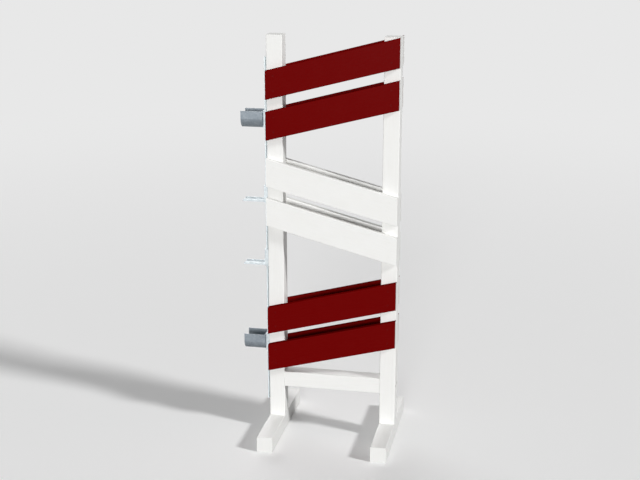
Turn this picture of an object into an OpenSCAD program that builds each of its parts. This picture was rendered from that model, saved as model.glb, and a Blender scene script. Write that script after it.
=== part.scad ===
// Show jump wing: two timber posts on feet, joined by sloping boards in pairs, with four cups
// that slide on a steel strip. X runs across the wing, with the cups at -X. Y runs front to back,
// with the front at -Y. Z is up, and the origin is on the ground in the middle of the wing.

/* [Timber frame] */
// Height of the post tops above the ground
wing_h = 1800; // [1750:5:1900]
// Width over the outer faces of the two posts
wing_w = 575; // [500:5:600]
// Side of the square timber used for posts, feet and rail
timber = 70; // [68:1:80]
// Length of a foot, front to back
foot_len = 570; // [450:10:700]
// Height of the rail's top face above the ground
rail_top = 285; // [200:1:300]
// Radius of the eased long edges of the square timber
timber_ease = 3; // [1:0.5:5]

/* [Boards] */
// Width of a board, square to its edges
board_w = 120; // [100:1:122]
// Thickness of a board
board_t = 25; // [20:1:32]
// Slope of every board, in degrees
board_angle = 14.6; // [10:0.1:15]
// Upright gap between the two boards of a pair, before the gaps are stretched to fill the height
board_gap = 52; // [30:1:70]
// Upright gap between two pairs where they come nearest, before the same stretch
pair_gap = 78; // [50:1:100]
// Upright gap from the rail to the lowest board at the inner post, before the same stretch
rail_gap = 10; // [5:1:30]
// Radius of the eased long edges of a board
board_ease = 2; // [1:0.5:4]

/* [Cup strip] */
// Width of the steel strip that the cups slide on
strip_w = 45; // [40:1:50]
// Thickness of the strip
strip_t = 6; // [5:0.5:8]
// Thickness of the packer that holds the strip off the post
packer_t = 6; // [6:0.5:8]
// Width of the packer
packer_w = 22; // [18:1:24]
// Height of the strip's lower end above the ground
strip_bottom = 145; // [140:1:150]
// Drop from the post's top to the strip's upper end
strip_drop = 95; // [80:1:100]

/* [Cups] */
// Drop from the post's top to the upper round cup's axis
upper_pole_drop = 359; // [340:1:400]
// Height of the lower round cup's axis
lower_pole_z = 425; // [400:1:440]
// Height of the upper flat cup's resting face
upper_plank_z = 1076; // [1050:1:1090]
// Height of the lower flat cup's resting face
lower_plank_z = 787; // [770:1:800]
// Reach of a cup from the post's face
cup_reach = 114; // [100:1:140]
// Inner radius of the round cup, for a round end 70 mm across
cup_r = 38; // [35:0.5:42]
// Height of the round cup's rim above its axis
cup_rim = 32; // [20:1:34]
// Width of the flat cup over its lips
shelf_w = 52; // [44:1:60]
// Height of the flat cup's lips above the resting face
shelf_lip = 4; // [3:0.5:8]
// Thickness of the cup plate
cup_t = 4; // [3:0.5:5]
// Height of the sliding carriage
carriage_h = 76; // [70:1:84]
// Thickness of the carriage's front and side plates
carriage_t = 5; // [4:0.5:6]
// Diameter of the clamp screw
clamp_d = 8; // [7:0.5:10]

/* [Hidden] */
$fn = 48;
// Steps in a quarter turn of an eased edge
ease_steps = 3;
// Extra length by which a cutting shape passes the faces that it cuts
past = 1;
// Gap around a screw in timber and around a tenon
screw_clear = 0.1;
tenon_clear = 0.2;
// Gap between the carriage and the strip, and between the carriage and the post
slide_clear = 0.5;
post_clear = 1;
// Running gap of the clamp screw and its pad in the nut
thread_clear = 0.05;

// Faces of the two posts, with the wing centred over the cups' reach and the posts' width
x_in = (cup_reach - wing_w) / 2;
x_out = x_in + wing_w;
inner_x = x_in + timber / 2;
outer_x = x_out - timber / 2;
post_face = timber / 2;
foot_h = timber;

// Stub tenon of a post in its foot
tenon_x = 30;
tenon_y = 50;
tenon_h = 45;

// Screws: diameters, head heights and lengths
board_screw_d = 5;
board_screw_bite = 30;
board_screw_len = board_t + board_screw_bite;
board_screw_spread = 32;
frame_screw_d = 7;
foot_screw_len = 95;
foot_screw_sink = 4;
foot_screw_y = 13;
rail_screw_len = 140;
rail_screw_y = 20;
strip_screw_d = 6;
strip_screw_bite = 45;
strip_screw_len = strip_t + packer_t + strip_screw_bite;
strip_screw_count = 9;
strip_screw_end = 60;
strip_top = wing_h - strip_drop;
strip_screw_pitch = (strip_top - strip_bottom - 2 * strip_screw_end) / (strip_screw_count - 1);
// A countersunk head is twice as wide as its screw, and its drive is a hexagon
head_ratio = 2;
drive_ratio = 0.9;
drive_depth = 2;

// Boards: rise for each millimetre across, rise over the whole wing, and height of an upright cut
board_rise = tan(board_angle);
wing_rise = wing_w * board_rise;
board_upright = board_w / cos(board_angle);
// The top pair ends level with the post tops, and the gaps share what the six boards leave free
board_count = 6;
pair_count = board_count / 2;
free_height = wing_h - rail_top - board_count * board_upright - pair_count * wing_rise;
gap_stretch = free_height / (pair_count * board_gap + (pair_count - 1) * pair_gap + rail_gap);
board_pitch = board_upright + board_gap * gap_stretch;
pair_upright = board_pitch + board_upright;
// Heights of the pairs' top edges at the inner post
top_top = wing_h - wing_rise;
middle_top = top_top - pair_upright - pair_gap * gap_stretch;
bottom_top = rail_top + rail_gap * gap_stretch + pair_upright;

// Strip, carriage and clamp, measured from the inner post's face
strip_face = x_in - packer_t - strip_t;
lip_x = x_in - post_clear;
lip_t = packer_t - post_clear - slide_clear;
carriage_x = strip_face - slide_clear - carriage_t;
carriage_y = strip_w / 2 + slide_clear + carriage_t;
lip_gap = packer_w / 2 + 2;
// Drop from a round cup's axis, and from a flat cup's resting face, to the lower end of the carriage
pole_carriage_drop = cup_r + cup_t;
weld_room = 2;
plank_carriage_drop = cup_t + weld_room;
cup_end = x_in - cup_reach;
cup_len = carriage_x - cup_end;

// Clamp: its axis crosses the middle of the strip's edge at half the carriage's height
clamp_x = x_in - packer_t - strip_t / 2;
clamp_up = carriage_h / 2;
clamp_r = clamp_d / 2;
nut_flats = 13;
nut_y = carriage_y + 14;
pad_gap = 0.4;
pad_t = 4;
pad_y = strip_w / 2 + pad_gap;
dog_r = 2.5;
dog_len = 2;
knob_r = 13;
knob_lobe_r = 4.5;
knob_lobes = 6;
knob_len = 16;
knob_gap = 3;
knob_y = post_face + board_t + knob_gap;
knob_socket = 12;
knob_boss_r = 9;
knob_boss_h = 2.5;
knob_bevel = 1.5;

// Points of a w by h rectangle about the origin with its corners rounded to radius e
function eased_points(w, h, e) = [
    for (c = [0:3])
    let (
        u = (c == 0 || c == 3 ? 1 : -1) * (w / 2 - e),
        v = (c < 2 ? 1 : -1) * (h / 2 - e)
    )
    for (s = [0:ease_steps])
    let (a = 90 * (c + s / ease_steps))
    [u + e * cos(a), v + e * sin(a)]
];

// Height at x of a board's top edge, where z is its height at the inner post's face
function edge_z(z, rise, x) = z + rise * board_rise * (x - x_in);

// Heights at the inner post of the two boards of a pair
function pair_tops(z) = [z, z - board_pitch];

// The three pairs: height at the inner post, and 1 where they rise outwards or -1 where they fall
PAIRS = [[top_top, 1], [middle_top, -1], [bottom_top, 1]];

// Bar along X that starts at the origin, with section w across Y and h up Z
module bar_x(len, w, h, e) {
    rotate([90, 0, 90]) linear_extrude(len) polygon(eased_points(w, h, e));
}

// Screw that points along -Z from its head's face at the origin, with or without its drive
module screw(d, len, grow = 0, drive = false) {
    head_h = d * (head_ratio - 1) / 2;
    difference() {
        union() {
            translate([0, 0, -head_h - grow])
                cylinder(h = head_h + grow, r1 = d / 2 + grow, r2 = d * head_ratio / 2 + grow, $fn = 32);
            translate([0, 0, -len - grow]) cylinder(h = len - head_h + past / 2, r = d / 2 + grow, $fn = 24);
        }
        if (drive) translate([0, 0, -drive_depth])
            cylinder(h = drive_depth + past, d = d * drive_ratio, $fn = 6);
    }
}

// Screws of one pair of boards on one side, where side is -1 at the front and 1 at the back
module pair_screws(pair, side, grow = 0, drive = false) {
    for (z = pair_tops(pair[0]), x = [inner_x, outer_x], up = [-1, 1]) {
        centre = edge_z(z, pair[1], x) - board_upright / 2;
        translate([x, side * (post_face + board_t), centre + up * board_screw_spread])
            rotate([-side * 90, 0, 0]) screw(board_screw_d, board_screw_len, grow, drive);
    }
}

// Two screws from under each foot into its post
module post_screws(x, grow = 0, drive = false) {
    for (y = [-1, 1]) translate([x, y * foot_screw_y, foot_screw_sink])
        rotate([180, 0, 0]) screw(frame_screw_d, foot_screw_len, grow, drive);
}

// Two screws through a post into the rail's end, where side is -1 at the inner post
module end_screws(side, grow = 0, drive = false) {
    for (y = [-1, 1]) translate([side < 0 ? x_in : x_out, y * rail_screw_y, rail_top - timber / 2])
        rotate([0, side * 90, 0]) screw(frame_screw_d, rail_screw_len, grow, drive);
}

// Screws that hold the strip and its packer to the inner post
module strip_row(grow = 0, drive = false) {
    for (i = [0:strip_screw_count - 1])
        translate([strip_face, 0, strip_bottom + strip_screw_end + i * strip_screw_pitch])
            rotate([0, -90, 0]) screw(strip_screw_d, strip_screw_len, grow, drive);
}

// Post that stands on its foot, with a stub tenon below
module post(x, side) {
    color("white") difference() {
        union() {
            translate([x, 0, foot_h]) linear_extrude(wing_h - foot_h)
                polygon(eased_points(timber, timber, timber_ease));
            translate([x - tenon_x / 2, -tenon_y / 2, foot_h - tenon_h])
                cube([tenon_x, tenon_y, tenon_h + past]);
        }
        for (p = PAIRS, s = [-1, 1]) pair_screws(p, s, screw_clear);
        post_screws(x, screw_clear);
        end_screws(side, screw_clear);
        if (side < 0) strip_row(screw_clear);
    }
}

// Foot that lies front to back under a post, with a mortise in its top
module foot(x) {
    mortise_x = tenon_x + 2 * tenon_clear;
    mortise_y = tenon_y + 2 * tenon_clear;
    color("white") difference() {
        translate([x, -foot_len / 2, foot_h / 2]) rotate([0, 0, 90])
            bar_x(foot_len, timber, foot_h, timber_ease);
        translate([x - mortise_x / 2, -mortise_y / 2, foot_h - tenon_h - tenon_clear])
            cube([mortise_x, mortise_y, tenon_h + past]);
        post_screws(x, screw_clear);
        translate([x, 0, 0]) for (y = [-1, 1]) translate([0, y * foot_screw_y, -past])
            cylinder(h = foot_screw_sink + past, r = frame_screw_d * head_ratio / 2 + screw_clear, $fn = 32);
    }
}

// Sloping board with upright cut ends, on the side given by -1 for the front or 1 for the back
module board(z, pair, side) {
    middle_y = side * (post_face + board_t / 2);
    difference() {
        intersection() {
            translate([x_in, middle_y, z]) rotate([0, -pair[1] * board_angle, 0])
                translate([-board_w, 0, -board_w / 2])
                    bar_x(wing_w + 2 * board_w, board_t, board_w, board_ease);
            translate([x_in, middle_y - board_t, 0]) cube([wing_w, 2 * board_t, wing_h + board_w]);
        }
        pair_screws(pair, side, screw_clear);
    }
}

module red_board(pair, row, side) {
    color("darkred") board(pair_tops(pair[0])[row], pair, side);
}

module white_board(pair, row, side) {
    color("white") board(pair_tops(pair[0])[row], pair, side);
}

// Bracket that wraps round the strip and slides on it, with the clamp's nut on its back edge. The base
// that this and the clamp's pieces are given is the height of the carriage's lower end.
module carriage(base) {
    clamp_z = base + clamp_up;
    color("silver") difference() {
        union() {
            translate([0, 0, base]) linear_extrude(carriage_h) difference() {
                translate([carriage_x, -carriage_y]) square([lip_x - carriage_x, 2 * carriage_y]);
                translate([strip_face - slide_clear, -carriage_y + carriage_t])
                    square([strip_t + 2 * slide_clear, 2 * (carriage_y - carriage_t)]);
                translate([strip_face, -lip_gap]) square([lip_x - strip_face + past, 2 * lip_gap]);
            }
            translate([clamp_x, carriage_y - past, clamp_z]) rotate([-90, 0, 0])
                rotate([0, 0, 30]) cylinder(h = nut_y - carriage_y + past, d = nut_flats / cos(30), $fn = 6);
        }
        translate([clamp_x, strip_w / 2, clamp_z]) rotate([-90, 0, 0])
            cylinder(h = nut_y, r = clamp_r + thread_clear);
    }
}

// Round cup: a trough of bent plate, open at the top and at its free end
module cradle(z) {
    outer = cup_r + cup_t;
    color("slategray") translate([cup_end, 0, z]) rotate([90, 0, 90]) difference() {
        linear_extrude(cup_len) difference() {
            union() {
                circle(r = outer, $fn = 96);
                translate([-outer, 0]) square([2 * outer, cup_rim]);
            }
            translate([-outer - past, cup_rim]) square([2 * (outer + past), outer]);
        }
        translate([0, 0, -past]) linear_extrude(cup_len - cup_t + past) union() {
            circle(r = cup_r, $fn = 96);
            translate([-cup_r, 0]) square([2 * cup_r, outer]);
        }
    }
}

// Flat cup: a level plate with a low lip along each side
module shelf(z) {
    inner = shelf_w - 2 * cup_t;
    color("slategray") translate([cup_end, 0, z]) rotate([90, 0, 90]) linear_extrude(cup_len)
        difference() {
            translate([-shelf_w / 2, -cup_t]) square([shelf_w, cup_t + shelf_lip]);
            translate([-inner / 2, 0]) square([inner, shelf_lip + past]);
        }
}

// Round brass pad for the strip's edge, drawn a small gap short of it, with a socket for the screw's end
module clamp_pad(base) {
    color("goldenrod") translate([clamp_x, pad_y, base + clamp_up]) rotate([-90, 0, 0])
        difference() {
            cylinder(h = pad_t, r = clamp_r);
            translate([0, 0, pad_t - dog_len]) cylinder(h = dog_len + past, r = dog_r + thread_clear);
        }
}

// Clamp screw, from the pad to inside the knob
module clamp_screw(base) {
    shank_y = pad_y + pad_t;
    color("silver") translate([clamp_x, shank_y, base + clamp_up]) rotate([-90, 0, 0])
        union() {
            cylinder(h = knob_y + knob_socket - shank_y, r = clamp_r);
            translate([0, 0, -dog_len]) cylinder(h = dog_len + past, r = dog_r);
        }
}

// Half section of the knob's turned envelope: a boss towards the nut, then a rim bevelled on both sides
function knob_section(rim) = [
    [0, 0],
    [knob_boss_r, 0],
    [knob_boss_r, knob_boss_h],
    [rim - knob_bevel, knob_boss_h],
    [rim + past, knob_boss_h + knob_bevel + past],
    [rim + past, knob_len - knob_bevel - past],
    [rim - knob_bevel, knob_len],
    [0, knob_len]
];

// Lobed hand knob on the clamp screw
module clamp_knob(base) {
    color("black") translate([clamp_x, knob_y, base + clamp_up]) rotate([-90, 0, 0])
        difference() {
            intersection() {
                union() {
                    cylinder(h = knob_len, r = knob_r);
                    for (i = [0:knob_lobes - 1]) rotate([0, 0, i * 360 / knob_lobes])
                        translate([knob_r, 0, 0]) cylinder(h = knob_len, r = knob_lobe_r, $fn = 24);
                }
                rotate_extrude($fn = 96) polygon(knob_section(knob_r + knob_lobe_r));
            }
            translate([0, 0, -past]) cylinder(h = knob_socket + past, r = clamp_r + thread_clear);
        }
}

upper_pole_z = wing_h - upper_pole_drop;
upper_pole_base = upper_pole_z - pole_carriage_drop;
lower_pole_base = lower_pole_z - pole_carriage_drop;
upper_plank_base = upper_plank_z - plank_carriage_drop;
lower_plank_base = lower_plank_z - plank_carriage_drop;

module inner_post() post(inner_x, -1);
module outer_post() post(outer_x, 1);
module inner_foot() foot(inner_x);
module outer_foot() foot(outer_x);

module bottom_rail() {
    color("white") difference() {
        translate([x_in + timber, 0, rail_top - timber / 2])
            bar_x(wing_w - 2 * timber, timber, timber, timber_ease);
        end_screws(-1, screw_clear);
        end_screws(1, screw_clear);
    }
}

module front_top_screws() color("darkred") pair_screws(PAIRS[0], -1, drive = true);
module front_middle_screws() color("white") pair_screws(PAIRS[1], -1, drive = true);
module front_bottom_screws() color("darkred") pair_screws(PAIRS[2], -1, drive = true);
module back_top_screws() color("darkred") pair_screws(PAIRS[0], 1, drive = true);
module back_middle_screws() color("white") pair_screws(PAIRS[1], 1, drive = true);
module back_bottom_screws() color("darkred") pair_screws(PAIRS[2], 1, drive = true);

module foot_screws() {
    color("silver") {
        post_screws(inner_x, drive = true);
        post_screws(outer_x, drive = true);
    }
}

module rail_screws() {
    color("silver") {
        end_screws(-1, drive = true);
        end_screws(1, drive = true);
    }
}

module strip_packer() {
    color("silver") difference() {
        translate([x_in - packer_t, -packer_w / 2, strip_bottom])
            cube([packer_t, packer_w, strip_top - strip_bottom]);
        strip_row(screw_clear);
    }
}

module cup_strip() {
    color("silver") difference() {
        translate([strip_face, -strip_w / 2, strip_bottom])
            cube([strip_t, strip_w, strip_top - strip_bottom]);
        strip_row(screw_clear);
    }
}

module strip_screws() color("silver") strip_row(drive = true);

inner_post();
outer_post();
inner_foot();
outer_foot();
bottom_rail();
red_board(PAIRS[0], 0, -1);  // front_top_upper_board
red_board(PAIRS[0], 1, -1);  // front_top_lower_board
white_board(PAIRS[1], 0, -1);  // front_middle_upper_board
white_board(PAIRS[1], 1, -1);  // front_middle_lower_board
red_board(PAIRS[2], 0, -1);  // front_bottom_upper_board
red_board(PAIRS[2], 1, -1);  // front_bottom_lower_board
red_board(PAIRS[0], 0, 1);  // back_top_upper_board
red_board(PAIRS[0], 1, 1);  // back_top_lower_board
white_board(PAIRS[1], 0, 1);  // back_middle_upper_board
white_board(PAIRS[1], 1, 1);  // back_middle_lower_board
red_board(PAIRS[2], 0, 1);  // back_bottom_upper_board
red_board(PAIRS[2], 1, 1);  // back_bottom_lower_board
front_top_screws();
front_middle_screws();
front_bottom_screws();
back_top_screws();
back_middle_screws();
back_bottom_screws();
foot_screws();
rail_screws();
strip_packer();
cup_strip();
strip_screws();
carriage(upper_pole_base);  // upper_pole_carriage
cradle(upper_pole_z);  // upper_pole_cradle
clamp_pad(upper_pole_base);  // upper_pole_clamp_pad
clamp_screw(upper_pole_base);  // upper_pole_clamp_screw
clamp_knob(upper_pole_base);  // upper_pole_clamp_knob
carriage(upper_plank_base);  // upper_plank_carriage
shelf(upper_plank_z);  // upper_plank_shelf
clamp_pad(upper_plank_base);  // upper_plank_clamp_pad
clamp_screw(upper_plank_base);  // upper_plank_clamp_screw
clamp_knob(upper_plank_base);  // upper_plank_clamp_knob
carriage(lower_plank_base);  // lower_plank_carriage
shelf(lower_plank_z);  // lower_plank_shelf
clamp_pad(lower_plank_base);  // lower_plank_clamp_pad
clamp_screw(lower_plank_base);  // lower_plank_clamp_screw
clamp_knob(lower_plank_base);  // lower_plank_clamp_knob
carriage(lower_pole_base);  // lower_pole_carriage
cradle(lower_pole_z);  // lower_pole_cradle
clamp_pad(lower_pole_base);  // lower_pole_clamp_pad
clamp_screw(lower_pole_base);  // lower_pole_clamp_screw
clamp_knob(lower_pole_base);  // lower_pole_clamp_knob
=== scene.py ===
# %% [markdown]
# # A show jump wing
# A wing is two timber posts on feet, with sloping boards screwed across them and a steel strip on one post,
# on which four cups slide. The solids come from CAD, in metres and in their final places. This lesson gives
# them their finishes, adds the small parts that only the eye needs, and sets up a plain studio.

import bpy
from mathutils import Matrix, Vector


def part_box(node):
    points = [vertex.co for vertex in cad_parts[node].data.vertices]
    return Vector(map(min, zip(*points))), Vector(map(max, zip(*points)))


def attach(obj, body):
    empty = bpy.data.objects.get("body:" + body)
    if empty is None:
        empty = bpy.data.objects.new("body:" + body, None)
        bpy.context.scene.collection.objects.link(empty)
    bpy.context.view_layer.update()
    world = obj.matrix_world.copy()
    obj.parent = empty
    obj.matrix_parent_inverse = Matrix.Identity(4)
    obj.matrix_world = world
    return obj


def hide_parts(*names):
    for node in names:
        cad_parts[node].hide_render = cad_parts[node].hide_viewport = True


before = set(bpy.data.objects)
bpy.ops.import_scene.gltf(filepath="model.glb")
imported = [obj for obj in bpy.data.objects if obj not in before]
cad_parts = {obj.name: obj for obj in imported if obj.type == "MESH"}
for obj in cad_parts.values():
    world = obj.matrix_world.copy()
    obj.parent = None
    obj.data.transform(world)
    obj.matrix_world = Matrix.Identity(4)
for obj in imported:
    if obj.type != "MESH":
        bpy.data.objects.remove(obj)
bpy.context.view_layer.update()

# %% Tools of the trade
from math import asin, cos, pi, radians, sin, tan

import bpy
from mathutils import Vector

scene = bpy.context.scene

# %% [markdown]
# ## Four small helpers
# Designers name colours as on a paint card, in sRGB hex, while Blender's sockets want linear light, so one
# function turns the one into the other. Another adds a node with its settings and links in one line. A
# third starts an empty material, and the last gives a CAD solid its finish by filling the material slots
# that it came with.

# %% Helpers for colours, nodes and finishes
def linear(paint_card):
    """A colour in sRGB hex, such as "#A0B0C0", as linear red, green, blue and alpha."""
    channels = [int(paint_card[i:i + 2], 16) / 255 for i in (1, 3, 5)]
    return [c / 12.92 if c <= 0.04045 else ((c + 0.055) / 1.055) ** 2.4 for c in channels] + [1.0]


def add(tree, kind, inputs=None, **settings):
    """Adds a node. inputs maps a socket's name or number to a value, or to the output that feeds it."""
    node = tree.nodes.new(kind)
    for name, value in settings.items():
        setattr(node, name, value)
    for key, value in (inputs or {}).items():
        if isinstance(value, bpy.types.NodeSocket):
            tree.links.new(value, node.inputs[key])
        else:
            node.inputs[key].default_value = value
    return node


def new_material(name):
    material = bpy.data.materials.new(name)
    material.use_nodes = True
    material.node_tree.nodes.clear()
    return material, material.node_tree


def finish_with(material, *node_names):
    for node_name in node_names:
        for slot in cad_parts[node_name].material_slots:
            slot.material = material
    print(f"{material.name}: {len(node_names)} CAD pieces")


# Noise stays mostly near its middle, so the finishes spread this part of it over their own range.
NOISE_LOW, NOISE_HIGH = 0.3, 0.7

# %% [markdown]
# ## Gloss paint on planed pine
# Wings are made of planed softwood and painted with exterior gloss. Under two coats the grain still shows
# as faint ridges a few millimetres apart, and the brush leaves finer lines along them. Both could be
# painted on as pictures, but noise that is stretched along the timber gives them at their real size on
# every piece. Each piece lies another way, so a Mapping node first turns the pattern until its X runs along
# that timber. The coat thins a little over the grain and in soft clouds. At the edges it is chipped in
# places, and a Bevel node finds the edges: its normal leans away from the face's own there. Sawn faces,
# such as a board's narrow edges and a post's cut top, soak up their paint and dry matt. A face counts as
# sawn when its normal has little of the planed directions in it, and there the shine goes and the roughness
# rises.

# %% Gloss paint
GRAIN_MM = 3.0
BRUSH_MM = 0.9
EDGE_MM = 2.5
RELIEF_MM = 0.4
GRAIN_STRETCH = (0.04, 1, 1)
CLOUDS_PER_M = 14.0
CHIPS_PER_M = 90.0
GRAIN_IN_COAT = 0.6
BRUSH_IN_RELIEF = 0.35
RELIEF_STRENGTH = 0.6
THIN_FROM, THIN_TO, MOST_THINNED = 0.40, 0.65, 0.12
CHIP_FROM, CHIP_TO, MOST_CHIPPED = 0.58, 0.66, 0.5
LEAN_FROM, LEAN_TO = 0.97, 0.8
END_FACING = 0.9
SAWN_BELOW = 0.5
SAWN_ROUGHER = 0.4
GLOSS_SWING = 0.05


def gloss_paint_on_pine(name, paint, worn, turn, shine, roughness, planed=(1, 1, 1), end_paint=None):
    """turn, in degrees, brings the timber's length onto the pattern's X. planed is 0 for an axis that sawn
    faces look along. end_paint colours the faces that look along X."""
    material, tree = new_material(name)
    place = add(tree, "ShaderNodeTexCoord")
    turned = add(tree, "ShaderNodeMapping", {"Vector": place.outputs["Object"],
                                             "Rotation": [radians(a) for a in turn]})
    stretched = add(tree, "ShaderNodeVectorMath", {0: turned.outputs["Vector"], 1: GRAIN_STRETCH},
                    operation="MULTIPLY")
    grain = add(tree, "ShaderNodeTexNoise", {"Vector": stretched.outputs["Vector"], "Scale": 1000 / GRAIN_MM,
                                             "Detail": 2.0, "Roughness": 0.55})
    brush = add(tree, "ShaderNodeTexNoise", {"Vector": stretched.outputs["Vector"], "Scale": 1000 / BRUSH_MM,
                                             "Detail": 1.0})
    cloud = add(tree, "ShaderNodeTexNoise", {"Vector": turned.outputs["Vector"], "Scale": CLOUDS_PER_M,
                                             "Detail": 2.0})

    body = add(tree, "ShaderNodeRGB")
    body.outputs[0].default_value = linear(paint)
    skin = body.outputs[0]
    facing = add(tree, "ShaderNodeSeparateXYZ", {"Vector": place.outputs["Normal"]})
    if end_paint:
        across = add(tree, "ShaderNodeMath", {0: facing.outputs["X"]}, operation="ABSOLUTE")
        is_end = add(tree, "ShaderNodeMath", {0: across.outputs[0], 1: END_FACING}, operation="GREATER_THAN")
        skin = add(tree, "ShaderNodeMix", {0: is_end.outputs[0], 6: skin, 7: linear(end_paint)},
                   data_type="RGBA").outputs[2]
    coat = add(tree, "ShaderNodeMix", {0: GRAIN_IN_COAT, 2: cloud.outputs[0], 3: grain.outputs[0]})
    thin = add(tree, "ShaderNodeMapRange", {0: coat.outputs[0], 1: THIN_FROM, 2: THIN_TO, 3: 0.0,
                                            4: MOST_THINNED})
    coated = add(tree, "ShaderNodeMix", {0: thin.outputs[0], 6: skin, 7: linear(worn)}, data_type="RGBA")

    face = add(tree, "ShaderNodeNewGeometry")
    round_edge = add(tree, "ShaderNodeBevel", {"Radius": EDGE_MM / 1000}, samples=4)
    lean = add(tree, "ShaderNodeVectorMath", {0: round_edge.outputs[0], 1: face.outputs["Normal"]},
               operation="DOT_PRODUCT")
    edge = add(tree, "ShaderNodeMapRange", {0: lean.outputs["Value"], 1: LEAN_FROM, 2: LEAN_TO, 3: 0.0,
                                            4: 1.0})
    chips = add(tree, "ShaderNodeTexNoise", {"Vector": turned.outputs["Vector"], "Scale": CHIPS_PER_M,
                                             "Detail": 3.0})
    chipped = add(tree, "ShaderNodeMapRange", {0: chips.outputs[0], 1: CHIP_FROM, 2: CHIP_TO, 3: 0.0,
                                               4: MOST_CHIPPED})
    wear = add(tree, "ShaderNodeMath", {0: edge.outputs[0], 1: chipped.outputs[0]}, operation="MULTIPLY")
    colour = add(tree, "ShaderNodeMix", {0: wear.outputs[0], 6: coated.outputs[2], 7: linear(worn)},
                 data_type="RGBA")

    planed_part = add(tree, "ShaderNodeVectorMath", {0: place.outputs["Normal"], 1: planed},
                      operation="MULTIPLY")
    planed_share = add(tree, "ShaderNodeVectorMath", {0: planed_part.outputs["Vector"]}, operation="LENGTH")
    sawn = add(tree, "ShaderNodeMath", {0: planed_share.outputs["Value"], 1: SAWN_BELOW},
               operation="LESS_THAN")
    glint = add(tree, "ShaderNodeMapRange", {0: sawn.outputs[0], 3: shine, 4: 0.0})
    brushed = add(tree, "ShaderNodeMapRange", {0: brush.outputs[0], 1: NOISE_LOW, 2: NOISE_HIGH,
                                               3: roughness - GLOSS_SWING, 4: roughness + GLOSS_SWING})
    gloss = add(tree, "ShaderNodeMath", {0: sawn.outputs[0], 1: SAWN_ROUGHER, 2: brushed.outputs[0]},
                operation="MULTIPLY_ADD")
    relief = add(tree, "ShaderNodeMix", {0: BRUSH_IN_RELIEF, 2: grain.outputs[0], 3: brush.outputs[0]})
    bump = add(tree, "ShaderNodeBump", {"Height": relief.outputs[0], "Strength": RELIEF_STRENGTH,
                                        "Distance": RELIEF_MM / 1000})
    shader = add(tree, "ShaderNodeBsdfPrincipled", {"Base Color": colour.outputs[2],
                                                    "Roughness": gloss.outputs[0], "Normal": bump.outputs[0],
                                                    "IOR": 1.5, "Specular IOR Level": glint.outputs[0]})
    add(tree, "ShaderNodeOutputMaterial", {"Surface": shader.outputs[0]})
    return material


# %% [markdown]
# ## Which timber gets which paint
# The posts stand, the rail and the boards lie across and the feet lie front to back. The red boards are cut
# from long painted lengths and their sawn ends are touched up in white, as the photo shows. The top and
# bottom pairs rise outwards and the middle pair falls, by the same angle.

# %% Paint the timber
WHITE = "#F3F3F1"
WHITE_WORN = "#D9D6CE"
RED = "#6C0202"
RED_WORN = "#76120F"
SLOPE = 14.6
WHITE_SHINE, WHITE_ROUGHNESS = 0.25, 0.42
RED_SHINE, RED_ROUGHNESS = 0.03, 0.28
UPRIGHT_PLANED = (1, 1, 0)
BOARD_PLANED = (0, 1, 0)


def white_gloss(name, turn, **settings):
    return gloss_paint_on_pine(name, WHITE, WHITE_WORN, turn, WHITE_SHINE, WHITE_ROUGHNESS, **settings)


upright_white = white_gloss("gloss_white_on_upright_pine", (0, 90, 0), planed=UPRIGHT_PLANED)
foot_white = white_gloss("gloss_white_on_pine_foot", (0, 0, -90))
rail_white = white_gloss("gloss_white_on_pine_rail", (0, 0, 0))
board_white = white_gloss("gloss_white_on_falling_board", (0, -SLOPE, 0), planed=BOARD_PLANED)
board_red = gloss_paint_on_pine("gloss_red_on_rising_board", RED, RED_WORN, (0, SLOPE, 0), RED_SHINE,
                                RED_ROUGHNESS, planed=BOARD_PLANED, end_paint=WHITE)

SIDES = ("front", "back")
ROWS = ("upper", "lower")
finish_with(upright_white, "inner_post", "outer_post")
finish_with(foot_white, "inner_foot", "outer_foot")
finish_with(rail_white, "bottom_rail")
finish_with(board_white, *[f"{side}_middle_{row}_board" for side in SIDES for row in ROWS])
finish_with(board_red, *[f"{side}_{pair}_{row}_board" for side in SIDES for pair in ("top", "bottom")
                         for row in ROWS])

# %% [markdown]
# ## Hot-dip galvanised steel
# The strip and the cups stand out in all weathers, so they are dipped in zinc. The zinc freezes in flat
# crystals, the spangle, each a slightly different grey with its own shine. Voronoi cells have just that
# look: the colour of a cell picks its grey and its roughness. Use drags fine lines across the coating, so
# stretched noise adds scratches to the roughness. A small Bevel normal rounds the plates' cut edges for the
# light. Outdoors zinc grows a dull film, which scatters light as paint does, so Metallic is well below 1.
# The strip, the carriages and the flat cups are still bright under it, while the round cups have turned a
# deeper blue grey.

# %% Galvanised steel
SPANGLE_MM = 7.0
PLATE_EDGE_MM = 0.6
RAGGED_PER_M = 60.0
RAGGED_BY = 0.006
SCRATCHES_PER_M = 900.0
SCRATCH_FROM, SCRATCH_TO, SCRATCH_GLOSS = 0.55, 0.75, -0.12
SCRATCH_STRENGTH = 0.15
CRYSTAL_GLOSS_SWING = 0.06
FINE_RELIEF_MM = 0.1


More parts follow.
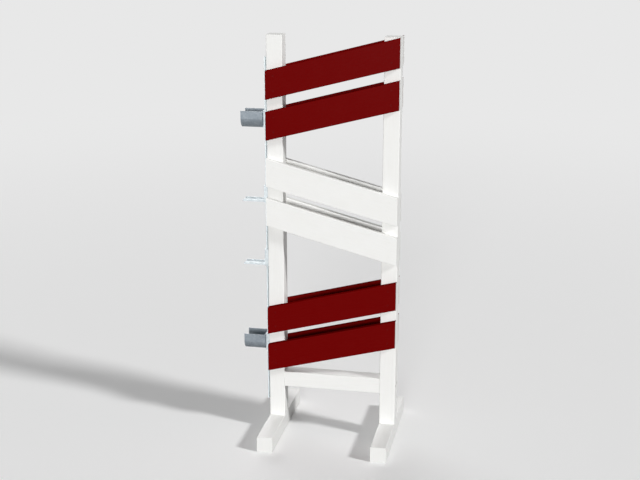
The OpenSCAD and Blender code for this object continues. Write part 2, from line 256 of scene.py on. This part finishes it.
def galvanised_steel(name, bright, dull, scratch_way, roughness, metallic):
    """scratch_way is the stretch along x, y and z: small along the scratches, 1 across them."""
    material, tree = new_material(name)
    place = add(tree, "ShaderNodeTexCoord")
    warp = add(tree, "ShaderNodeTexNoise", {"Vector": place.outputs["Object"], "Scale": RAGGED_PER_M,
                                            "Detail": 2.0})
    nudge = add(tree, "ShaderNodeVectorMath", {0: warp.outputs["Color"], 3: RAGGED_BY}, operation="SCALE")
    shifted = add(tree, "ShaderNodeVectorMath", {0: place.outputs["Object"], 1: nudge.outputs["Vector"]},
                  operation="ADD")
    crystal = add(tree, "ShaderNodeTexVoronoi", {"Vector": shifted.outputs["Vector"],
                                                 "Scale": 1000 / SPANGLE_MM})
    chance = add(tree, "ShaderNodeSeparateColor", {0: crystal.outputs["Color"]})
    colour = add(tree, "ShaderNodeMix", {0: chance.outputs[0], 6: linear(bright), 7: linear(dull)},
                 data_type="RGBA")

    streaks = add(tree, "ShaderNodeVectorMath", {0: place.outputs["Object"], 1: scratch_way},
                  operation="MULTIPLY")
    scratch = add(tree, "ShaderNodeTexNoise", {"Vector": streaks.outputs["Vector"], "Scale": SCRATCHES_PER_M,
                                               "Detail": 2.0})
    scratched = add(tree, "ShaderNodeMapRange", {0: scratch.outputs[0], 1: SCRATCH_FROM, 2: SCRATCH_TO,
                                                 3: 0.0, 4: SCRATCH_GLOSS})
    crystal_gloss = add(tree, "ShaderNodeMapRange", {0: chance.outputs[1],
                                                     3: roughness - CRYSTAL_GLOSS_SWING,
                                                     4: roughness + CRYSTAL_GLOSS_SWING})
    gloss = add(tree, "ShaderNodeMath", {0: crystal_gloss.outputs[0], 1: scratched.outputs[0]},
                operation="ADD")
    soft_edge = add(tree, "ShaderNodeBevel", {"Radius": PLATE_EDGE_MM / 1000}, samples=4)
    bump = add(tree, "ShaderNodeBump", {"Height": scratch.outputs[0], "Strength": SCRATCH_STRENGTH,
                                        "Distance": FINE_RELIEF_MM / 1000, "Normal": soft_edge.outputs[0]})
    shader = add(tree, "ShaderNodeBsdfPrincipled", {"Base Color": colour.outputs[2],
                                                    "Metallic": metallic, "Roughness": gloss.outputs[0],
                                                    "Normal": bump.outputs[0]})
    add(tree, "ShaderNodeOutputMaterial", {"Surface": shader.outputs[0]})
    return material


strip_zinc = galvanised_steel("galvanised_strip", "#E2E9EB", "#D2DBDE", (1, 1, 0.03), 0.60, 0.40)
cup_zinc = galvanised_steel("weathered_cup_plate", "#8D959C", "#7C858D", (0.03, 1, 1), 0.48, 0.45)
plate_zinc = galvanised_steel("bright_galvanised_plate", "#D0D7DA", "#B6BFC3", (0.03, 1, 1), 0.50, 0.60)

CUPS = {"upper_pole": "cradle", "upper_plank": "shelf", "lower_plank": "shelf", "lower_pole": "cradle"}
finish_with(strip_zinc, "cup_strip", "strip_packer")
finish_with(plate_zinc, *[f"{cup}_carriage" for cup in CUPS], "upper_plank_shelf", "lower_plank_shelf")
finish_with(cup_zinc, "upper_pole_cradle", "lower_pole_cradle")

# %% [markdown]
# ## Zinc-plated screws, brass pads and black knobs
# Screws are electroplated: brighter and smoother than dipped zinc, with a faint yellow tint. The clamp's
# pad is turned brass, soft enough to spare the strip. The knob is moulded in black phenolic plastic, with a
# fine grain and a gloss that varies a little. These are small surfaces, so one material function with a
# noise for tone and one for relief serves all of them.

# %% Plated, turned and moulded finishes
MOTTLES_PER_M = 250.0
SMALL_EDGE_MM = 0.3
SMALL_GLOSS_SWING = 0.06


def small_part_finish(name, tone, shadow_tone, metallic, roughness, grain_mm, relief, shine=0.5):
    material, tree = new_material(name)
    place = add(tree, "ShaderNodeTexCoord")
    mottle = add(tree, "ShaderNodeTexNoise", {"Vector": place.outputs["Object"], "Scale": MOTTLES_PER_M,
                                              "Detail": 3.0})
    colour = add(tree, "ShaderNodeMix", {0: mottle.outputs[0], 6: linear(tone), 7: linear(shadow_tone)},
                 data_type="RGBA")
    grain = add(tree, "ShaderNodeTexNoise", {"Vector": place.outputs["Object"], "Scale": 1000 / grain_mm,
                                             "Detail": 1.0})
    gloss = add(tree, "ShaderNodeMapRange", {0: mottle.outputs[0], 1: NOISE_LOW, 2: NOISE_HIGH,
                                             3: roughness - SMALL_GLOSS_SWING,
                                             4: roughness + SMALL_GLOSS_SWING})
    soft_edge = add(tree, "ShaderNodeBevel", {"Radius": SMALL_EDGE_MM / 1000}, samples=4)
    bump = add(tree, "ShaderNodeBump", {"Height": grain.outputs[0], "Strength": relief,
                                        "Distance": FINE_RELIEF_MM / 1000, "Normal": soft_edge.outputs[0]})
    settings = {"Base Color": colour.outputs[2], "Metallic": metallic, "Roughness": gloss.outputs[0],
                "Normal": bump.outputs[0]}
    if not metallic:
        settings["Specular IOR Level"] = shine
    shader = add(tree, "ShaderNodeBsdfPrincipled", settings)
    add(tree, "ShaderNodeOutputMaterial", {"Surface": shader.outputs[0]})
    return material


plated_zinc = small_part_finish("zinc_plated_screw", "#CFD0C8", "#B7B9B4", 1.0, 0.28, 0.8, 0.05)
turned_brass = small_part_finish("turned_brass_pad", "#C9A75A", "#B08D45", 1.0, 0.27, 0.5, 0.05)
phenolic = small_part_finish("moulded_black_phenolic", "#17181A", "#0F1011", 0.0, 0.36, 0.6, 0.20)
weld_zinc = small_part_finish("galvanised_weld", "#8E9AA3", "#75818A", 1.0, 0.5, 1.2, 0.30)
head_white = small_part_finish("gloss_white_on_screw_head", WHITE, "#EDEDEA", 0.0, 0.42, 0.9, 0.10, 0.25)
head_red = small_part_finish("gloss_red_on_screw_head", RED, "#690404", 0.0, 0.30, 0.9, 0.10, 0.05)
finish_with(plated_zinc, "rail_screws", "foot_screws", "strip_screws")
finish_with(turned_brass, *[f"{cup}_clamp_pad" for cup in CUPS])

# %% [markdown]
# ## One lathe for knobs and screws
# A knob and a screw are both turned shapes, except that a knob's rim and a screw's drive are six-lobed. So
# one small lathe makes both: each ring of its profile has a height, a radius and a wave that pushes the
# ring in and out six times on the way round. It closes on the axis at both ends. A Screw modifier could
# spin a plain profile, but it could not make lobes.

# %% Lathe
LOBES = 6


def lathe(name, profile, segments):
    """profile is rings of (height along Z, radius, wave), from one point on the axis to the other."""
    points, faces, rings = [], [], []
    for height, radius, wave in profile:
        if radius == 0:
            rings.append([len(points)])
            points.append((0, 0, height))
            continue
        rings.append(range(len(points), len(points) + segments))
        for i in range(segments):
            angle = 2 * pi * i / segments
            reach = radius + wave * cos(LOBES * angle)
            points.append((reach * cos(angle), reach * sin(angle), height))
    for low, high in zip(rings, rings[1:]):
        for i in range(segments):
            j = (i + 1) % segments
            if len(low) == 1:
                faces.append((low[0], high[j], high[i]))
            elif len(high) == 1:
                faces.append((low[i], low[j], high[0]))
            else:
                faces.append((low[i], low[j], high[j], high[i]))
    mesh = bpy.data.meshes.new(name)
    mesh.from_pydata(points, [], faces)
    piece = bpy.data.objects.new(name, mesh)
    scene.collection.objects.link(piece)
    return piece


def set_in_place(piece, place, turn):
    """Turns a piece about X, moves it and leaves its object at the origin, with its place in its mesh."""
    piece.rotation_euler.x = radians(turn)
    piece.location = place
    bpy.context.view_layer.update()
    piece.data.transform(piece.matrix_world)
    piece.rotation_euler.x = 0
    piece.location = (0, 0, 0)


def shade(piece, sharp_degrees):
    piece.data.shade_smooth()
    piece.data.set_sharp_from_angle(angle=radians(sharp_degrees))


# %% [markdown]
# ## Hand knobs
# The CAD knob has the right lobes, boss and length. The moulded one adds what the hand feels: a rounded rim
# and a shallow dish in its outer face. Its profile starts in the socket's blind end, comes out round the
# screw, runs over the boss and the rim and ends in the dish.

# %% Turn the knobs
MM = 0.001
SOCKET_R = 4.05
KNOB_SEGMENTS, KNOB_SHARP = 72, 35
KNOB_PROFILE = [
    (12.0, 0, 0), (12.0, SOCKET_R, 0), (0.0, SOCKET_R, 0),
    (0.0, 8.2, 0), (0.3, 8.8, 0), (2.2, 9.0, 0), (2.5, 9.4, 0),
    (2.5, 13.0, 1.4), (3.0, 14.3, 1.9), (4.2, 15.1, 2.2), (5.5, 15.25, 2.25),
    (12.6, 15.25, 2.25), (14.3, 14.9, 2.1), (15.4, 14.0, 1.8), (15.9, 12.8, 1.4), (16.0, 11.4, 0.9),
    (16.0, 9.2, 0), (15.6, 8.6, 0), (15.2, 7.6, 0), (15.0, 0, 0)]

for cup in CUPS:
    low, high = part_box(f"{cup}_clamp_knob")
    centre = (low + high) / 2
    knob = lathe(f"{cup}_moulded_knob", [(h * MM, r * MM, w * MM) for h, r, w in KNOB_PROFILE],
                 KNOB_SEGMENTS)
    set_in_place(knob, (centre.x, low.y, centre.z), -90)
    shade(knob, KNOB_SHARP)
    knob.data.materials.append(phenolic)
    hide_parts(f"{cup}_clamp_knob")
    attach(knob, f"{cup}_clamp")
print("knobs:", len(CUPS), "each", len(knob.data.polygons), "faces")

# %% [markdown]
# ## Running Geometry Nodes once
# The next pieces repeat or follow a path, which is what Geometry Nodes are for. Each tree has named inputs
# for its sizes. A tree is run on a carrier object, its result is baked into a plain mesh and the modifier
# is taken off again, so that the piece is as solid as the others. A modifier knows its inputs by
# identifier, so a small table from name to identifier comes first.

# %% Helpers for Geometry Nodes
def new_tree(name, **inputs):
    """A tree with a geometry in and out, and one named input for each socket type given."""
    tree = bpy.data.node_groups.new(name, "GeometryNodeTree")
    tree.interface.new_socket(name="Geometry", in_out="INPUT", socket_type="NodeSocketGeometry")
    tree.interface.new_socket(name="Geometry", in_out="OUTPUT", socket_type="NodeSocketGeometry")
    for label, kind in inputs.items():
        tree.interface.new_socket(name=label, in_out="INPUT", socket_type="NodeSocket" + kind)
    return tree, add(tree, "NodeGroupInput").outputs


def run_tree(tree, name, values, carrier=None):
    mesh = carrier or bpy.data.meshes.new(name)
    piece = bpy.data.objects.new(name, mesh)
    scene.collection.objects.link(piece)
    modifier = piece.modifiers.new("grow", "NODES")
    modifier.node_group = tree
    identifiers = {item.name: item.identifier for item in tree.interface.items_tree if item.in_out == "INPUT"}
    for label, value in values.items():
        modifier[identifiers[label]] = value
    depsgraph = bpy.context.evaluated_depsgraph_get()
    grown = bpy.data.meshes.new_from_object(piece.evaluated_get(depsgraph), depsgraph=depsgraph)
    piece.modifiers.remove(modifier)
    piece.data = grown
    return piece


# %% [markdown]
# ## Painted board screws
# Each board is held at both posts by two countersunk screws, and they were painted over with the boards,
# which leaves their drive as a shallow star full of paint. A pair of boards has eight: two apart in height,
# on two boards, at two posts. Three lines of two points, each one carrying the last, say just that. The
# master screw is turned once on the lathe and lent to the tree.

# %% A tree that repeats a screw along three directions
screw_tree, given = new_tree("screws_of_a_pair", Screw="Object", First="Vector", Spread="Vector",
                             Rise="Vector", Across="Vector", Turn="Vector", Finish="Material")
source = add(screw_tree, "GeometryNodeObjectInfo", {"Object": given["Screw"]}, transform_space="ORIGINAL")
turned_way = add(screw_tree, "FunctionNodeEulerToRotation", {0: given["Turn"]})
group = source.outputs["Geometry"]
for direction in ("Spread", "Rise", "Across"):
    line = add(screw_tree, "GeometryNodeMeshLine", {"Count": 2, "Offset": given[direction]})
    copies = add(screw_tree, "GeometryNodeInstanceOnPoints", {"Points": line.outputs[0], "Instance": group})
    if direction == "Spread":
        screw_tree.links.new(turned_way.outputs[0], copies.inputs["Rotation"])
    group = copies.outputs[0]
moved = add(screw_tree, "GeometryNodeTransform", {"Geometry": group, "Translation": given["First"]})
real = add(screw_tree, "GeometryNodeRealizeInstances", {"Geometry": moved.outputs[0]})
painted = add(screw_tree, "GeometryNodeSetMaterial", {"Geometry": real.outputs[0],
                                                      "Material": given["Finish"]})
add(screw_tree, "NodeGroupOutput", {0: painted.outputs[0]})

# %% Turn the master screw and set out the six groups
SCREW_HEAD_R = 5.0
SCREW_SPREAD = 0.064
SCREW_SEGMENTS, SCREW_SHARP = 24, 30
SCREW_PROFILE = [
    (-0.7, 0, 0), (-0.65, 1.3, 0.15), (-0.3, 1.75, 0.28), (0.0, 2.05, 0.30),
    (0.0, 4.85, 0), (-0.15, SCREW_HEAD_R, 0), (-2.6, 2.5, 0), (-22.0, 2.5, 0),
    (-22.6, 1.7, 0), (-50.0, 1.7, 0), (-55.0, 0, 0)]
master = lathe("master_screw", [(h * MM, r * MM, w * MM) for h, r, w in reversed(SCREW_PROFILE)],
               SCREW_SEGMENTS)
shade(master, SCREW_SHARP)

for side in SIDES:
    for pair in ("top", "middle", "bottom"):
        low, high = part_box(f"{side}_{pair}_screws")
        head_r = SCREW_HEAD_R * MM
        way = -1 if pair == "middle" else 1
        between_posts = high.x - low.x - 2 * head_r
        climb = between_posts * tan(radians(SLOPE))
        pitch = high.z - low.z - 2 * head_r - climb - SCREW_SPREAD
        first_z = low.z + head_r + (climb if way < 0 else 0)
        group = run_tree(screw_tree, f"{side}_{pair}_painted_screws", {
            "Screw": master,
            "First": (low.x + head_r, low.y if side == "front" else high.y, first_z),
            "Spread": (0.0, 0.0, SCREW_SPREAD),
            "Rise": (0.0, 0.0, pitch),
            "Across": (between_posts, 0.0, way * climb),
            "Turn": (radians(90 if side == "front" else -90), 0.0, 0.0),
            "Finish": head_white if pair == "middle" else head_red})
        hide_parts(f"{side}_{pair}_screws")
        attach(group, "frame")
        print(group.name, "board pitch", round(pitch * 1000, 1), "mm")
bpy.data.objects.remove(master)

# %% [markdown]
# ## Clamp screws with a real thread
# The clamp screw is M8 with a pitch of 1.25 mm, and its thread shows between the nut and the knob. A thread
# is a cylinder whose radius depends on how far round and how far along a point is, so the tree bends a flat
# grid into one: the grid's X becomes the angle, its Y the length, and the radius falls and rises once for
# every pitch. The angle runs backwards, from X towards -Z, which makes the thread right-handed and its
# faces point outwards. The first 2 mm are the plain dog that sits in the brass pad, and the end rings close
# on the axis.

# %% A tree that rolls a grid into a threaded rod
AROUND = 24
THREAD_ROWS = 4
END_ROWS = 3
KEEP_POSITIVE = 100.0
MERGE_WITHIN = 0.00002
thread_tree, given = new_tree("threaded_rod", Length="Float", Radius="Float", Pitch="Float", Depth="Float",
                              DogLength="Float", DogRadius="Float", Rows="Int", Start="Vector",
                              Finish="Material")


def math(operation, first, second=0.0):
    return add(thread_tree, "ShaderNodeMath", {0: first, 1: second}, operation=operation).outputs[0]


grid = add(thread_tree, "GeometryNodeMeshGrid", {"Size X": 1.0, "Size Y": 1.0, "Vertices X": AROUND + 1,
                                                 "Vertices Y": given["Rows"]})
grid_place = add(thread_tree, "GeometryNodeInputPosition").outputs[0]
spot = add(thread_tree, "ShaderNodeSeparateXYZ", {0: grid_place})
turn_share = math("ADD", spot.outputs["X"], 0.5)
row_count = math("SUBTRACT", given["Rows"], 1.0)
row = math("ROUND", math("MULTIPLY", math("ADD", spot.outputs["Y"], 0.5), row_count))
last_inner = math("SUBTRACT", row_count, 2.0)
inner_share = math("DIVIDE", math("SUBTRACT", row, 1.0), last_inner)
share = add(thread_tree, "ShaderNodeClamp", {0: inner_share}).outputs[0]
along = math("MULTIPLY", share, given["Length"])
angle = math("MULTIPLY", turn_share, -2 * pi)
turns = math("SUBTRACT", math("DIVIDE", along, given["Pitch"]), turn_share)
phase = math("FRACT", math("ADD", turns, KEEP_POSITIVE))
valley = math("ABSOLUTE", math("SUBTRACT", math("MULTIPLY", phase, 2.0), 1.0))
thread_r = math("SUBTRACT", given["Radius"], math("MULTIPLY", valley, given["Depth"]))
left_over = math("SUBTRACT", given["Length"], along)
to_end = math("ADD", left_over, math("SUBTRACT", given["Radius"], given["Depth"]))
shank_r = math("MINIMUM", thread_r, to_end)
on_dog = math("LESS_THAN", along, given["DogLength"])
outer_r = add(thread_tree, "ShaderNodeMix", {0: on_dog, 2: shank_r, 3: given["DogRadius"]}).outputs[0]
past_first = math("GREATER_THAN", row, 0.5)
before_last = math("LESS_THAN", row, math("SUBTRACT", row_count, 0.5))
inside = math("MULTIPLY", past_first, before_last)
radius = math("MULTIPLY", outer_r, inside)
bent = add(thread_tree, "ShaderNodeCombineXYZ", {
    0: math("MULTIPLY", radius, math("COSINE", angle)), 1: along,
    2: math("MULTIPLY", radius, math("SINE", angle))})
rolled = add(thread_tree, "GeometryNodeSetPosition", {"Geometry": grid.outputs[0],
                                                      "Position": bent.outputs[0]})
welded = add(thread_tree, "GeometryNodeMergeByDistance", {"Geometry": rolled.outputs[0],
                                                          "Distance": MERGE_WITHIN})
shifted = add(thread_tree, "GeometryNodeTransform", {"Geometry": welded.outputs[0],
                                                     "Translation": given["Start"]})
real = add(thread_tree, "GeometryNodeRealizeInstances", {"Geometry": shifted.outputs[0]})
plated = add(thread_tree, "GeometryNodeSetMaterial", {"Geometry": real.outputs[0],
                                                      "Material": given["Finish"]})
add(thread_tree, "NodeGroupOutput", {0: plated.outputs[0]})

# %% Cut the four clamp screws
PITCH = 1.25 * MM
THREAD_DEPTH = 0.68 * MM
DOG_LENGTH = 2.0 * MM
DOG_R = 2.5 * MM
THREAD_SHARP = 50
for cup in CUPS:
    low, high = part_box(f"{cup}_clamp_screw")
    centre = (low + high) / 2
    length = high.y - low.y
    screw = run_tree(thread_tree, f"{cup}_threaded_screw", {
        "Length": length,
        "Radius": (high.x - low.x) / 2,
        "Pitch": PITCH,
        "Depth": THREAD_DEPTH,
        "DogLength": DOG_LENGTH,
        "DogRadius": DOG_R,
        "Rows": round(length / PITCH * THREAD_ROWS) + END_ROWS,
        "Start": (centre.x, low.y, centre.z),
        "Finish": plated_zinc})
    shade(screw, THREAD_SHARP)
    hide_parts(f"{cup}_clamp_screw")
    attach(screw, f"{cup}_clamp")
print("clamp screws:", len(CUPS), "each", len(screw.data.polygons), "faces")

# %% [markdown]
# ## Weld beads
# A cup is welded to its carriage, and the nut to the carriage's back edge. A bead is a rope of molten steel
# that froze in ripples, so it is swept along the joint and its thickness swells a little for each ripple.
# The path is given as a chain of points. The tree turns it into a curve, resamples it finely and sweeps a
# circle along it, with a scale that follows a sine of the length.

# %% A tree that lays a bead along a chain of points
BEAD_STEP = 0.0004
BEAD_SWELL = 0.13
BEAD_SIDES = 8

bead_tree, given = new_tree("weld_bead", Radius="Float", Ripple="Float", Finish="Material")
path = add(bead_tree, "GeometryNodeMeshToCurve", {"Mesh": given["Geometry"]})
fine = add(bead_tree, "GeometryNodeResampleCurve", {"Curve": path.outputs[0], "Length": BEAD_STEP},
           mode="LENGTH")
run = add(bead_tree, "GeometryNodeSplineParameter")
beat = add(bead_tree, "ShaderNodeMath", {0: run.outputs["Length"], 1: given["Ripple"]}, operation="DIVIDE")
beat_angle = add(bead_tree, "ShaderNodeMath", {0: beat.outputs[0], 1: 2 * pi}, operation="MULTIPLY")
wave = add(bead_tree, "ShaderNodeMath", {0: beat_angle.outputs[0]}, operation="SINE")
swell = add(bead_tree, "ShaderNodeMath", {0: wave.outputs[0], 1: BEAD_SWELL, 2: 1.0},
            operation="MULTIPLY_ADD")
section = add(bead_tree, "GeometryNodeCurvePrimitiveCircle", {"Resolution": BEAD_SIDES,
                                                              "Radius": given["Radius"]})
bead = add(bead_tree, "GeometryNodeCurveToMesh", {"Curve": fine.outputs[0],
                                                  "Profile Curve": section.outputs[0],
                                                  "Scale": swell.outputs[0], "Fill Caps": True})
real = add(bead_tree, "GeometryNodeRealizeInstances", {"Geometry": bead.outputs[0]})
cooled = add(bead_tree, "GeometryNodeSetMaterial", {"Geometry": real.outputs[0], "Material": given["Finish"]})
add(bead_tree, "NodeGroupOutput", {0: cooled.outputs[0]})


def chain(name, *runs):
    """A mesh of bare edges: each run is a list of points joined one to the next."""
    points, edges = [], []
    for stretch in runs:
        start = len(points)
        points += stretch
        edges += [(start + i, start + i + 1) for i in range(len(stretch) - 1)]
    mesh = bpy.data.meshes.new(name)
    mesh.from_pydata(points, edges, [])
    return mesh


# %% Weld the cups and the nuts
BEAD_R = 1.4 * MM
BEAD_RIPPLE = 2.2 * MM
NUT_BEAD_R = 0.7 * MM
NUT_BEAD_RIPPLE = 1.6 * MM
NUT_TO_FLAT = 6.5 * MM
OFFSET = 0.4 * MM
ARC_OFFSET = 0.5 * MM
NUT_OFFSET = 0.3 * MM
HALF_ARC_STEPS = 20
RING_STEP_DEG = 6
UNDER_SHARE = 0.97
WELD_SHARP = 60


def lay_bead(name, cup, radius, ripple, joint):
    bead = run_tree(bead_tree, name, {"Radius": radius, "Ripple": ripple, "Finish": weld_zinc}, joint)
    shade(bead, WELD_SHARP)
    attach(bead, f"{cup}_cup")
    return bead


for cup, kind in CUPS.items():
    low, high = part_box(f"{cup}_carriage")
    cup_low, cup_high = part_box(f"{cup}_{kind}")
    half = -low.y
    joint_x = low.x
    if kind == "cradle":
        outer_r = cup_high.y
        axis_z = cup_low.z + outer_r
        bead_r = outer_r + ARC_OFFSET
        spread = asin(half / outer_r)
        bends = [spread * i / HALF_ARC_STEPS for i in range(-HALF_ARC_STEPS, HALF_ARC_STEPS + 1)]
        arc = [(joint_x - OFFSET, bead_r * sin(bend), axis_z - bead_r * cos(bend)) for bend in bends]
        foot_z, rim_z = arc[0][2], cup_high.z
        sides = [[(joint_x + OFFSET, y, foot_z), (joint_x + OFFSET, y, rim_z)]
                 for y in (-half - OFFSET, half + OFFSET)]
        across = [(joint_x - OFFSET, y, rim_z + OFFSET) for y in (-half, half)]
        joints = [arc, *sides, across]
    else:
        under = [(joint_x - OFFSET, y * min(half, cup_high.y), cup_low.z - OFFSET)
                 for y in (-UNDER_SHARE, UNDER_SHARE)]
        joints = [under]
    bead = lay_bead(f"{cup}_cup_weld", cup, BEAD_R, BEAD_RIPPLE, chain(f"{cup}_joint", *joints))

    screw_low, screw_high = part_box(f"{cup}_clamp_screw")
    clamp = (screw_low + screw_high) / 2
    ring_r = NUT_TO_FLAT + OFFSET
    ring = [(clamp.x + ring_r * cos(radians(a)), half + NUT_OFFSET, clamp.z + ring_r * sin(radians(a)))
            for a in range(0, 360 + 1, RING_STEP_DEG)]
    nut_bead = lay_bead(f"{cup}_nut_weld", cup, NUT_BEAD_R, NUT_BEAD_RIPPLE, chain(f"{cup}_nut_joint", ring))
    print(cup, "weld faces:", len(bead.data.polygons), "+", len(nut_bead.data.polygons))

# %% [markdown]
# ## Floor
# The photo is a studio picture on a seamless pale floor. A wide plane does that: it is matt, and it takes
# the wing's shadow. The light that it throws back onto the wing is that of a plain grey floor, while the
# camera and the shiny surfaces see it paler, so that the picture is bright and the wing's own tones stay
# true. Far from the wing it turns into the plain tone of the background, which leaves no horizon in a low
# view.

# %% Floor
FLOOR_BOUNCE = "#989897"
FLOOR_TONE = "#FFFFFF"
BACKGROUND = "#E8E8E8"
FLOOR_LIFT = 0.03
FADE_FROM, FADE_TO = 1.0, 8.5


def when_seen(tree, hidden, seen):
    """One shader for rays that carry light onto the wing, another for the camera and for shiny surfaces."""
    ray = add(tree, "ShaderNodeLightPath")
    looked_at = add(tree, "ShaderNodeMath", {0: ray.outputs["Is Camera Ray"],
                                             1: ray.outputs["Is Glossy Ray"]}, operation="MAXIMUM")
    either = add(tree, "ShaderNodeMath", {0: looked_at.outputs[0], 1: ray.outputs["Is Transmission Ray"]},
                 operation="MAXIMUM")
    return add(tree, "ShaderNodeMixShader", {0: either.outputs[0], 1: hidden, 2: seen}).outputs[0]


floor_paint, tree = new_material("matt_studio_floor")
bounce = add(tree, "ShaderNodeBsdfDiffuse", {"Color": linear(FLOOR_BOUNCE)})
matt = add(tree, "ShaderNodeBsdfDiffuse", {"Color": linear(FLOOR_TONE)})
glow = add(tree, "ShaderNodeEmission", {"Color": linear(BACKGROUND), "Strength": 1.0})
spot = add(tree, "ShaderNodeTexCoord")
away = add(tree, "ShaderNodeVectorMath", {0: spot.outputs["Object"]}, operation="LENGTH")
fade = add(tree, "ShaderNodeMapRange", {0: away.outputs["Value"], 1: FADE_FROM, 2: FADE_TO,
                                        3: FLOOR_LIFT, 4: 1.0}, interpolation_type="SMOOTHSTEP")
lifted = add(tree, "ShaderNodeMixShader", {0: fade.outputs[0], 1: matt.outputs[0], 2: glow.outputs[0]})
add(tree, "ShaderNodeOutputMaterial", {0: when_seen(tree, bounce.outputs[0], lifted.outputs[0])})

FLOOR_HALF = 60.0
FLOOR_DROP = 0.0003
floor_mesh = bpy.data.meshes.new("studio_floor")
corners = [(x * FLOOR_HALF, y * FLOOR_HALF, -FLOOR_DROP) for x, y in ((-1, -1), (1, -1), (1, 1), (-1, 1))]
floor_mesh.from_pydata(corners, [], [(0, 1, 2, 3)])
floor = bpy.data.objects.new("studio_floor", floor_mesh)
floor.data.materials.append(floor_paint)
scene.collection.objects.link(floor)

# %% [markdown]
# ## Light
# In the photo the shadows fall to the left and a little back, and those of the feet give the key light's
# direction: from the right, a third of the way up. The front faces are brightest, yet the back boards stay
# dark behind the front ones, so the front light is low. A weak light from behind keeps the back readable in
# other views, and the world adds a little from all sides. Sun lamps are even over the whole floor, and
# their angle sets how soft a shadow is.

# %% Sun lamps and world
def sun(name, direction, strength, softness):
    """direction points to the lamp. softness is the lamp's apparent width in degrees."""
    lamp = bpy.data.lights.new(name, "SUN")
    lamp.energy = strength * pi
    lamp.angle = radians(softness)
    holder = bpy.data.objects.new(name, lamp)
    holder.rotation_euler = Vector(direction).to_track_quat("Z", "Y").to_euler()
    scene.collection.objects.link(holder)


sun("key_from_the_right", (0.80, -0.23, 0.545), 0.62, 7)
sun("low_front_fill", (0.06, -0.985, 0.12), 0.64, 14)
sun("low_back_fill", (-0.50, 0.82, 0.18), 0.65, 60)

WORLD_STRENGTH = 0.16
world = bpy.data.worlds.new("pale_studio")
world.use_nodes = True
scene.world = world
tree = world.node_tree
tree.nodes.clear()
lit = add(tree, "ShaderNodeBackground", {"Color": linear("#FFFFFF"), "Strength": WORLD_STRENGTH})
shown = add(tree, "ShaderNodeBackground", {"Color": linear(BACKGROUND), "Strength": 1.0})
add(tree, "ShaderNodeOutputWorld", {0: when_seen(tree, lit.outputs[0], shown.outputs[0])})

# %% [markdown]
# ## Camera
# The camera stands where the photo's stood, found by fitting the corners of the timber: a metre to the
# right, five metres in front and 2.35 m up. The photo is wide and has the wing at its right edge, so here
# the camera turns to the wing and a longer lens fills the frame with it. Standing still while turning keeps
# the same view of every face.

# %% Camera
EYE = (1.0071, -4.9758, 2.3472)
LOOKS_AT = (-0.004, 0, 0.905)
LENS_MM, SENSOR_MM = 67.5, 36.0
camera_data = bpy.data.cameras.new("photo_view")
camera_data.lens = LENS_MM
camera_data.sensor_width = SENSOR_MM
camera_data.sensor_fit = "HORIZONTAL"
camera = bpy.data.objects.new("photo_view", camera_data)
camera.location = EYE
camera.rotation_euler = (Vector(LOOKS_AT) - camera.location).to_track_quat("-Z", "Y").to_euler()
scene.collection.objects.link(camera)
scene.camera = camera
scene.view_settings.view_transform = "Standard"
